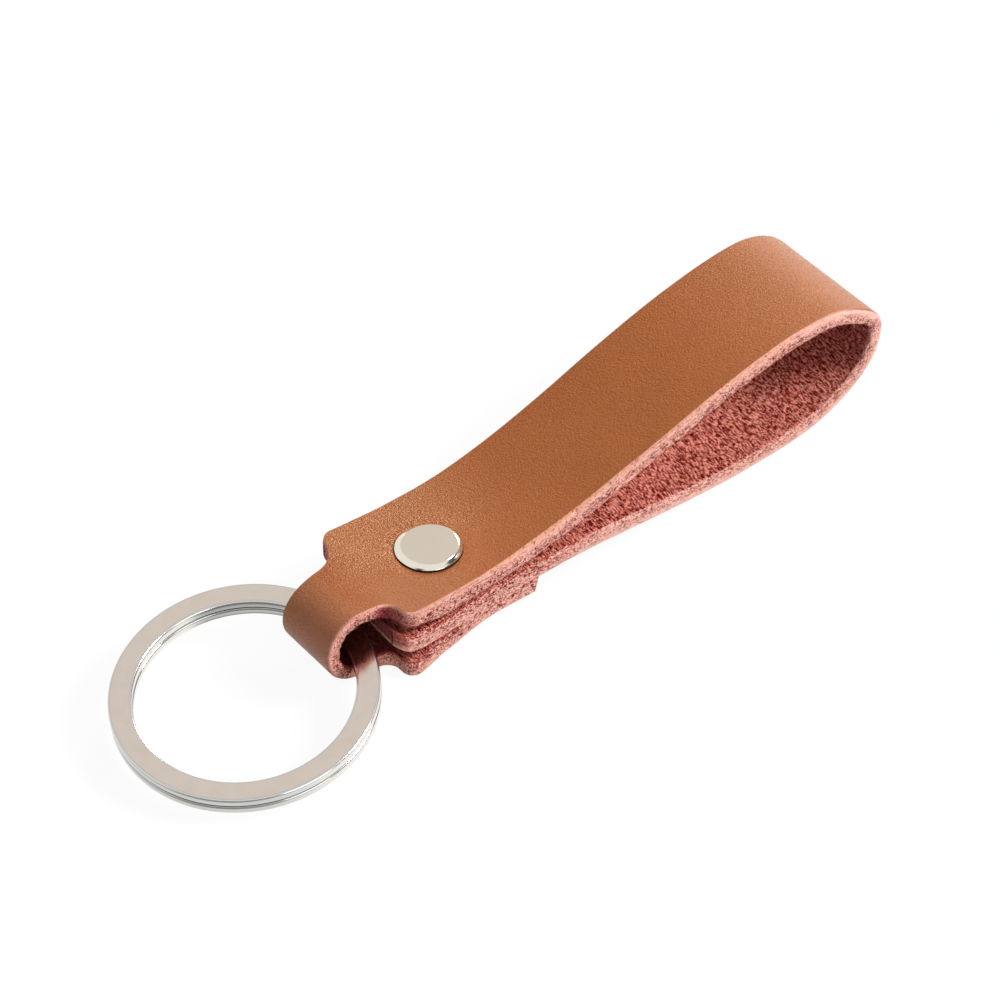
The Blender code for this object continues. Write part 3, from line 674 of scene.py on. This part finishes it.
def cap_mesh(radius, height, dents):
    """A cap turned from its half section. Its bevel is narrower on one side, and dents pull its rim in a little."""
    outline = cap_outline(radius, height)
    turns = np.linspace(0.0, 2.0 * math.pi, 180, endpoint=False)
    dent = np.zeros_like(turns)
    for at, amount in dents:
        dent += amount * np.maximum(0.0, 1.0 - (wrapped(turns - at) / 0.36) ** 2)
    reach, level = outline[1:-1].T
    share = np.clip(reach / radius, 0.0, 1.0) ** 4
    narrow = NARROW * np.maximum(0.0, np.cos(turns - NARROW_AT)) ** 1.5
    crown = radius - CAP_SHOULDER
    within = np.where(reach <= crown, reach * (1.0 + narrow / crown)[:, None],
                      radius - (radius - reach) * (1.0 - narrow / CAP_SHOULDER)[:, None])
    radii = within * (1.0 - dent[:, None] * share)
    over = 1.0 - ramp(reach, crown, radius)
    local = np.stack([
        radii * np.cos(turns)[:, None] + CROWN_SHIFT[0] * over,
        radii * np.sin(turns)[:, None] + CROWN_SHIFT[1] * over,
        np.tile(level, (len(turns), 1)),
    ], axis=-1)
    count, depth = local.shape[:2]
    index = np.pad(numbered(0, (count, depth)), ((0, 1), (0, 0)), "wrap")
    poles = np.array([[*CROWN_SHIFT, outline[0, 1]], [*CROWN_SHIFT, outline[-1, 1]]])
    top = np.stack([index[:-1, 0], index[1:, 0], np.full(count, count * depth)], axis=-1)
    bottom = np.stack([index[1:, -1], index[:-1, -1], np.full(count, count * depth + 1)], axis=-1)
    reach, level = np.tile(reach, count), np.tile(level, count)
    # Painted highlight on the bevel
    painted_highlight = ramp(reach, radius - 0.64, radius - 0.48)
    # Painted contact shadow at the rim's foot, and a dark mark at the nick
    painted_dark = (1.0 - ramp(level, 0.06, 0.10)) * (reach > radius - 0.2)
    nick = bell(wrapped(np.repeat(turns, depth) - NICK_AT), 0.0, 0.13) * (reach > radius - 0.13) * (level < 0.35)
    painted_dark = np.maximum(painted_dark, nick)
    tone = np.concatenate([np.column_stack([painted_highlight, painted_dark, 0.0 * reach]), np.zeros((2, 3))])
    return np.concatenate([local.reshape(-1, 3), poles]), quads(index)[:, ::-1], np.concatenate([top, bottom]), tone


def socket_mesh():
    """The flanged tube under the front cap: its section carried round the rivet's centre line."""
    bore, tube, flange = 1.25, 1.6, 2.4
    top, under, foot = 0.30, 0.05, -5.2
    section = np.array([[bore, top], [flange, top], [flange, under], [tube, under], [tube, foot], [bore, foot]])
    turns = np.linspace(0.0, 2.0 * math.pi, 80, endpoint=False)[:, None]
    reach, level = section[:, 0], np.tile(section[:, 1], (len(turns), 1))
    local = np.stack([reach * np.cos(turns), reach * np.sin(turns) + RIVET_Y, level], axis=-1)
    index = np.pad(numbered(0, level.shape), (0, 1), "wrap")
    return local.reshape(-1, 3), quads(index)[:, ::-1]


# ---- Mesh objects


def new_object(name, data):
    """An object in the scene."""
    made = bpy.data.objects.new(name, data)
    bpy.context.scene.collection.objects.link(made)
    return made


def new_piece(name, points, faces, materials, body, slots=0):
    """A mesh object at the origin, smooth shaded, riding on a CAD body. Faces come in groups, slots per face."""
    mesh = bpy.data.meshes.new(name)
    mesh.from_pydata(points.tolist(), [], [face.tolist() for group in faces for face in group])
    for material in materials:
        mesh.materials.append(material)
    mesh.polygons.foreach_set("material_index", np.broadcast_to(slots, len(mesh.polygons)).astype(np.int32))
    mesh.shade_smooth()
    mesh.update()
    piece = new_object(name, mesh)
    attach(piece, body)
    return piece


def keep_vectors(piece, name, values):
    """Store a vector at each point, for materials to read."""
    layer = piece.data.attributes.new(name, "FLOAT_VECTOR", "POINT")
    layer.data.foreach_set("vector", values.astype(np.float32).ravel())


# ---- Materials

# Colours, linear: the grain, the cut edge, the flesh side
TAN_DEEP = (0.386, 0.098, 0.012)
TAN = (0.412, 0.109, 0.016)
# Painted light on the grain
TAN_PAINTED_LIGHT = (0.66, 0.34, 0.22)
TAN_CREASE = (0.28, 0.064, 0.008)
# Painted glints
TAN_GLINT = (1.0, 0.52, 0.25)
CAP_SHADOW = (0.035, 0.010, 0.006)
SALMON_DEEP = (0.64, 0.255, 0.195)
SALMON = (1.0, 0.58, 0.49)
EDGE_WARM = (0.80, 0.385, 0.25)
EDGE_RED = (0.62, 0.18, 0.125)
EDGE_PALE = (0.93, 0.58, 0.49)
EDGE_DIP = (0.50, 0.115, 0.080)
EDGE_PIT = (0.20, 0.022, 0.016)
EDGE_CLOT = (0.34, 0.030, 0.018)
# Painted shade on the cut edge
EDGE_SHADE_DEEP = (0.13, 0.015, 0.018)
EDGE_SHADE = (0.46, 0.095, 0.095)
NAP_DEEP = (0.11, 0.005, 0.004)
NAP_RED = (0.50, 0.043, 0.021)
NAP_TIP = (1.0, 0.40, 0.31)
# Painted shade on the flesh
NAP_PAINTED_SHADE = (0.14, 0.022, 0.016)
# The metal: painted grey walls and painted dark; per plate, plain, dull and painted highlight colours and roughness
PAINTED_GREY = (0.60, 0.60, 0.58)
PAINTED_DARK = (0.030, 0.021, 0.015)
RING_PLATE = ((0.795, 0.69, 0.605), (0.765, 0.655, 0.57), (0.95, 0.91, 0.87), 0.12)
RIVET_PLATE = ((0.81, 0.71, 0.585), (0.79, 0.69, 0.565), (1.0, 0.93, 0.80), 0.07)


class Recipe:
    """The nodes of a material, or of the world, added and joined in few words.

    Where a number or a colour can be given, an output of another node can be given too.
    """

    def __init__(self, owner):
        owner.use_nodes = True
        self.owner = owner
        self.tree = owner.node_tree
        self.shader = self.tree.nodes.get("Principled BSDF")

    def feed(self, value, socket):
        if isinstance(value, (int, float)):
            socket.default_value = value
        elif isinstance(value, tuple):
            socket.default_value = (*value, 1.0)
        else:
            self.tree.links.new(value, socket)

    def node(self, kind, **settings):
        made = self.tree.nodes.new(kind)
        for key, value in settings.items():
            setattr(made, key, value)
        return made

    def fed(self, kind, inputs, **settings):
        """A node with its inputs set by name or number."""
        made = self.node(kind, **settings)
        for key, value in inputs.items():
            self.feed(value, made.inputs[key])
        return made

    def read(self, attribute):
        return self.node("ShaderNodeAttribute", attribute_name=attribute).outputs["Vector"]

    def place(self):
        return self.node("ShaderNodeTexCoord").outputs["Object"]

    def split(self, vector):
        """The three numbers of a vector."""
        return self.fed("ShaderNodeSeparateXYZ", {0: vector}).outputs[:]

    def scaled(self, vector, stretch=(1.0, 1.0, 1.0), centre=(0.0, 0.0, 0.0)):
        """A place in millimetres, stretched, from a centre in metres."""
        made = self.fed("ShaderNodeMapping", {"Vector": vector})
        made.inputs["Scale"].default_value = [1000.0 * part for part in stretch]
        made.inputs["Location"].default_value = [-1000.0 * part for part in centre]
        return made.outputs["Vector"]

    def shift(self, vector, wave, amount):
        """Moves a vector by a noise, so that a pattern wanders."""
        made = self.fed("ShaderNodeVectorMath", {0: wave, 2: vector}, operation="MULTIPLY_ADD")
        made.inputs[1].default_value = (amount, amount, amount)
        return made.outputs["Vector"]

    def noise(self, vector, scale, detail=3.0, rough=0.55, distortion=0.0):
        return self.fed("ShaderNodeTexNoise", {
            "Vector": vector, "Scale": scale, "Detail": detail, "Roughness": rough, "Distortion": distortion,
        }).outputs["Fac"]

    def cells(self, vector, scale):
        made = self.fed("ShaderNodeTexVoronoi", {"Vector": vector, "Scale": scale}, feature="SMOOTH_F1")
        return made.outputs["Distance"]

    def span(self, value, low, high, to_low=0.0, to_high=1.0):
        return self.fed("ShaderNodeMapRange", {
            "Value": value, "From Min": low, "From Max": high, "To Min": to_low, "To Max": to_high,
        }).outputs["Result"]

    def math(self, operation, first, second):
        return self.fed("ShaderNodeMath", {0: first, 1: second}, operation=operation).outputs["Value"]

    def times(self, first, second):
        return self.math("MULTIPLY", first, second)

    def plus(self, first, second):
        return self.math("ADD", first, second)

    def less(self, first, second):
        return self.math("SUBTRACT", first, second)

    def mix(self, share, first, second):
        """A colour between two others."""
        made = self.node("ShaderNodeMix", data_type="RGBA")
        colours = [socket for socket in made.inputs if socket.type == "RGBA"]
        for value, socket in zip((share, first, second), (made.inputs["Factor"], *colours)):
            self.feed(value, socket)
        return [socket for socket in made.outputs if socket.type == "RGBA"][0]

    def bump(self, height, distance, strength):
        made = self.fed("ShaderNodeBump", {"Height": height, "Distance": distance, "Strength": strength})
        return made.outputs["Normal"]

    def seen(self):
        """1 for what the camera sees itself, in a mirror or through a clear piece."""
        rays = self.node("ShaderNodeLightPath").outputs
        either = self.math("MAXIMUM", rays["Is Camera Ray"], rays["Is Glossy Ray"])
        return self.math("MAXIMUM", either, rays["Is Transmission Ray"])

    def blend(self, share, first, second):
        """One shader fading into another."""
        return self.fed("ShaderNodeMixShader", {0: share, 1: first, 2: second}).outputs[0]

    def set(self, **values):
        for key, value in values.items():
            self.feed(value, self.shader.inputs[key.replace("_", " ")])


def tan_grain():
    """Smooth tan top side: fine pebbles with darker creases over slow changes of tone, painted light and glints, a
    painted shadow at the cap.
    """
    hide = Recipe(bpy.data.materials.new("tan_grain"))
    place = hide.scaled(hide.read("lay"))
    moved = hide.shift(place, hide.noise(place, 1.6, 2.0), 0.5)
    pebble = hide.cells(moved, 4.6)
    fine = hide.noise(place, 9.0, 2.0, 0.6)
    height = hide.less(hide.times(fine, 0.8), pebble)
    crease = hide.span(pebble, 0.35, 0.75)
    slow = hide.noise(place, 0.16, 3.0)
    speck = hide.noise(place, 8.5, 2.0)
    colour = hide.mix(hide.span(slow, 0.3, 0.7), TAN_DEEP, TAN)
    painted_light, _, glints_and_relief = hide.split(hide.read("tone"))
    # Painted light on the grain
    colour = hide.mix(hide.times(painted_light, 0.48), colour, TAN_PAINTED_LIGHT)
    colour = hide.mix(hide.times(crease, hide.span(glints_and_relief, 0.0, 1.0, 0.3, 0.55)), colour, TAN_CREASE)
    # Painted glints on the pebbles
    glint = hide.times(hide.span(speck, 0.53, 0.64), hide.span(glints_and_relief, 0.0, 1.0, 0.15, 1.0))
    colour = hide.mix(glint, colour, TAN_GLINT)
    # Painted shadow round the cap's lip
    colour = hide.mix(hide.times(cap_shadow_ring(hide), 0.9), colour, CAP_SHADOW)
    hide.set(
        Base_Color=colour,
        Roughness=hide.span(pebble, 0.2, 0.8, 0.34, 0.5),
        Specular_IOR_Level=0.32,
        Sheen_Weight=0.32,
        Sheen_Roughness=0.28,
        Normal=hide.bump(height, 0.00012, hide.span(glints_and_relief, 0.0, 1.0, 0.7, 1.0)),
    )
    return hide.owner


def cap_shadow_ring(hide):
    """Painted shadow: a thin ring on the grain round the front cap's lip, from the distance to the cap's centre line.
    """
    place = hide.place()
    centre = lay_down(np.array([*CAP_AT, 0.0]))
    flat = hide.scaled(place, (1.0, 1.0, 0.0), (*centre[:2], 0.0))
    away = hide.fed("ShaderNodeVectorMath", {0: flat}, operation="LENGTH").outputs["Value"]
    near = hide.span(away, CAP_RADIUS + 0.08, CAP_RADIUS + 0.02)
    return hide.times(near, hide.span(hide.split(place)[2], 0.007, 0.0075))


def raw_edge():
    """Cut edge: pale salmon fibre, warm at the grain, with small dark pits that grow redder towards the flesh, and
    painted shade.
    """
    hide = Recipe(bpy.data.materials.new("raw_cut_edge"))
    place = hide.scaled(hide.read("lay"))
    streaks = hide.scaled(hide.read("lay"), (0.6, 1.0, 1.0))
    painted_shading, share, pale = hide.split(hide.read("tone"))
    share = hide.plus(share, hide.span(hide.noise(place, 1.1, 2.0), 0.3, 0.7, -0.1, 0.1))
    strands = hide.noise(hide.scaled(hide.read("lay"), (0.14, 1.0, 1.3)), 3.4, 2.0)
    grit = hide.noise(streaks, 8.5, 2.0, 0.6)
    threads = hide.noise(streaks, 5.0, 3.0, 0.6, 0.5)
    fibre = hide.plus(hide.times(strands, 0.25), hide.times(grit, 0.35))
    fibre = hide.plus(hide.times(threads, 0.4), fibre)
    pits = hide.noise(streaks, 5.4, 3.0, 0.7)
    patches = hide.span(hide.noise(place, 0.9, 2.0), 0.35, 0.65, 0.36, 0.43)
    ripe = hide.times(hide.span(share, 0.84, 1.02), hide.span(pale, 0.0, 0.35, 1.0, 0.0))
    common = hide.plus(hide.span(share, 0.10, 0.45, 0.0, 0.09), patches)
    common = hide.plus(common, hide.times(ripe, 0.05))
    depth = hide.less(common, pits)
    fewer = hide.span(pale, 0.0, 1.0, 1.0, 0.35)
    dip, pit = (hide.times(hide.span(depth, *ends), fewer) for ends in ((-0.04, 0.01), (0.005, 0.05)))
    clot = hide.span(hide.noise(place, 2.6, 1.0), 0.50, 0.56)
    clot = hide.times(clot, hide.span(ripe, 0.0, 0.3))
    colour = hide.mix(hide.span(fibre, 0.43, 0.57), SALMON_DEEP, SALMON)
    for amount, over in (
        (hide.times(hide.span(share, 0.14, 0.0), 0.85), EDGE_WARM),
        (hide.times(ripe, 0.7), EDGE_RED),
        (hide.times(pale, 0.5), EDGE_PALE),
        (hide.times(dip, 0.6), EDGE_DIP),
        (pit, EDGE_PIT),
        (hide.times(clot, 0.85), EDGE_CLOT),
        # Painted shade
        (painted_shading, hide.mix(hide.span(fibre, 0.43, 0.56), EDGE_SHADE_DEEP, EDGE_SHADE)),
    ):
        colour = hide.mix(amount, colour, over)
    hide.set(
        Base_Color=colour,
        Roughness=0.9,
        Specular_IOR_Level=0.05,
        Normal=hide.bump(hide.less(fibre, pit), 0.00010, 0.7),
    )
    return hide.owner


def raw_flesh():
    """Flesh side: a nap of short salmon fibres that lie across the strap, with deep red between them, and painted
    shade.
    """
    hide = Recipe(bpy.data.materials.new("raw_flesh"))
    place = hide.scaled(hide.read("lay"))
    lying = hide.scaled(hide.read("lay"), (1.15, 0.25, 1.0))
    painted_shading = hide.split(hide.read("tone"))[0]
    moved = hide.shift(lying, hide.noise(place, 1.2, 3.0), 0.6)
    tuft = hide.noise(moved, 6.4, 2.0, 0.6, 0.3)
    clump = hide.noise(place, 1.3, 2.0)
    height = hide.plus(tuft, hide.times(clump, 0.25))
    colour = hide.mix(hide.span(height, 0.55, 0.62), NAP_DEEP, NAP_RED)
    colour = hide.mix(hide.span(height, 0.61, 0.69), colour, NAP_TIP)
    # Painted shade in the fold and inside the tip
    colour = hide.mix(hide.times(painted_shading, 0.85), colour, NAP_PAINTED_SHADE)
    hide.set(
        Base_Color=colour,
        Roughness=0.95,
        Specular_IOR_Level=0.05,
        Normal=hide.bump(height, 0.00022, 1.0),
    )
    return hide.owner


def nickel(name, tone, dull, polished, shine):
    """Nickel plate: a warm grey mirror with faint haze and small scuffs, painted highlights, painted dark and painted
    grey walls.
    """
    metal = Recipe(bpy.data.materials.new(name))
    place = metal.scaled(metal.place())
    haze = metal.noise(place, 0.5, 3.0)
    scuff = metal.noise(place, 4.0, 4.0, 0.6)
    painted_highlight, painted_dark, wall = metal.split(metal.read("tone"))
    colour = metal.mix(metal.span(haze, 0.35, 0.7), tone, dull)
    # Painted grey walls
    colour = metal.mix(wall, colour, PAINTED_GREY)
    # Painted highlights
    colour = metal.mix(painted_highlight, colour, polished)
    # Painted dark: shade, dark reflections and the nick's mark
    colour = metal.mix(metal.times(painted_dark, 0.95), colour, PAINTED_DARK)
    metal.set(
        Base_Color=colour,
        Metallic=1.0,
        Roughness=metal.span(haze, 0.3, 0.7, shine, shine + 0.06),
        Normal=metal.bump(scuff, 0.000004, 0.5),
    )
    return metal.owner


# ---- Pieces


def make_strap():
    """The strap with its three finishes, standing for the CAD strap."""
    points, faces, slots, lay, top_points = strap_mesh()
    points = lay_down(points)
    points[:, 2] = np.maximum(points[:, 2], 0.0)
    piece = new_piece("strap_leather", points, [faces], [tan_grain(), raw_edge(), raw_flesh()], "leather_loop", slots)
    keep_vectors(piece, "lay", lay * 0.001)
    keep_vectors(piece, "tone", tones(lay, top_points))
    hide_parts("leather_strap")


def make_ring():
    """The split ring, standing for the CAD ring."""
    points, faces, ends, tone = ring_mesh()
    piece = new_piece("ring_wire", lay_down(points), [faces, ends], [nickel("ring_nickel", *RING_PLATE)], "ring")
    keep_vectors(piece, "tone", tone)
    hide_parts("split_ring")


def make_caps():
    """The rivet's caps and its socket, standing for the CAD ones, and plate on the post inside."""
    plate = nickel("rivet_plate", *RIVET_PLATE)
    for name, node, radius, height, turn, place, dents in (
        ("cap_front", "rivet_front_cap", CAP_RADIUS, CAP_HEIGHT, 1.0, (*CAP_AT, 0.0), CAP_DENTS),
        ("cap_rear", "rivet_rear_cap", REAR_RADIUS, REAR_HEIGHT, -1.0, (0.0, RIVET_Y, FLAP_SEAT), ()),
    ):
        local, faces, fans, tone = cap_mesh(radius, height, dents)
        side = local * np.array([1.0, turn, turn]) + np.array(place)
        piece = new_piece(name, lay_down(side), [faces, fans], [plate], "leather_loop")
        keep_vectors(piece, "tone", tone)
        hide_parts(node)
    points, faces = socket_mesh()
    socket = new_piece("socket_tube", lay_down(points), [faces], [plate], "leather_loop")
    socket.data.shade_flat()
    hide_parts("rivet_socket")
    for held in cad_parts["rivet_post"].material_slots:
        held.material = plate


# ---- Studio

# Lamps: name, place and aim in metres, width in metres, and power in watts
LAMPS = (
    ("key_light", (0.60, -0.48, 0.63), (0.01, 0.0, 0.005), 0.30, 8.2),
    ("back_light", (0.72, 0.44, 0.47), (0.0, 0.0, 0.005), 0.20, 2.6),
    ("front_light", (0.0, -0.80, 0.18), (0.01, 0.0, 0.005), 0.50, 1.75),
)
ROOM_LIGHT = 0.42
ROOM_DARK = 0.12
FLOOR_HALF = 3.0
FLOOR_DOWN = 0.0001
FLOOR_COLOUR = (0.60, 0.60, 0.60)
FLOOR_GLOW = 1.09
FLOOR_GLOW_SHARE = 0.85


def unit(vector):
    """The same direction, one long."""
    return vector / np.linalg.norm(vector)


def stand(thing, place, right, up):
    """Put a lamp or the camera at a place, by the directions to its right and up."""
    turn = np.eye(4)
    turn[:3] = np.column_stack([right, up, np.cross(right, up), place])
    thing.matrix_world = Matrix(turn.tolist())


def studio_light(name, place, aim, size, power):
    """A square soft light at a place, that faces its aim."""
    data = bpy.data.lights.new(name, "AREA")
    data.shape = "SQUARE"
    data.size = size
    data.energy = power
    back = unit(np.array(place) - np.array(aim))
    right = unit(np.cross((0.0, 0.0, 1.0), back))
    stand(new_object(name, data), place, right, np.cross(back, right))


def white_room():
    """Even light from all round, seen as plain white by the camera, and in the metal with a dark low front side."""
    room = Recipe(bpy.data.worlds.new("white_room"))
    bpy.context.scene.world = room.owner
    room.tree.nodes.clear()
    _, y, z = room.split(room.node("ShaderNodeTexCoord").outputs["Generated"])
    low_front = room.times(room.span(z, 0.50, 0.30), room.span(y, 0.15, -0.15))
    mirrored = room.times(low_front, room.node("ShaderNodeLightPath").outputs["Is Glossy Ray"])
    white = room.fed("ShaderNodeBackground", {"Strength": room.span(mirrored, 0.0, 1.0, 1.0, ROOM_DARK)})
    dim = room.fed("ShaderNodeBackground", {"Strength": ROOM_LIGHT})
    both = room.blend(room.seen(), dim.outputs[0], white.outputs[0])
    room.fed("ShaderNodeOutputWorld", {0: both})


def pale_floor():
    """A plain white table top that keeps a soft shadow under the keychain."""
    mesh = bpy.data.meshes.new("floor")
    corners = [(x * FLOOR_HALF, y * FLOOR_HALF, 0) for x, y in ((-1, -1), (1, -1), (1, 1), (-1, 1))]
    mesh.from_pydata(corners, [], [(0, 1, 2, 3)])
    floor = new_object("floor", mesh)
    paper = Recipe(bpy.data.materials.new("floor_paper"))
    paper.set(Base_Color=FLOOR_COLOUR, Roughness=0.9, Specular_IOR_Level=0.0)
    glow = paper.fed("ShaderNodeEmission", {"Strength": FLOOR_GLOW})
    both = paper.blend(paper.times(paper.seen(), FLOOR_GLOW_SHARE), paper.shader.outputs[0], glow.outputs[0])
    paper.feed(both, paper.tree.nodes["Material Output"].inputs["Surface"])
    mesh.materials.append(paper.owner)
    floor.location = (0.0, 0.0, -FLOOR_DOWN)


def make_camera():
    """The camera at the photograph's place and lens."""
    data = bpy.data.cameras.new("camera")
    data.lens = CAMERA_LENS
    data.sensor_width = SENSOR
    data.clip_start = 0.01
    data.clip_end = 20.0
    camera = new_object("camera", data)
    origin = lay_down(np.zeros(3))
    right = unit(lay_down(CAMERA_RIGHT) - origin)
    up = lay_down(CAMERA_UP) - origin
    stand(camera, lay_down(CAMERA_PLACE), right, unit(up - right * (up @ right)))
    bpy.context.scene.camera = camera


make_camera()
make_strap()
make_ring()
make_caps()
pale_floor()
white_room()
for lamp in LAMPS:
    studio_light(*lamp)
bpy.context.scene.view_settings.view_transform = "Standard"
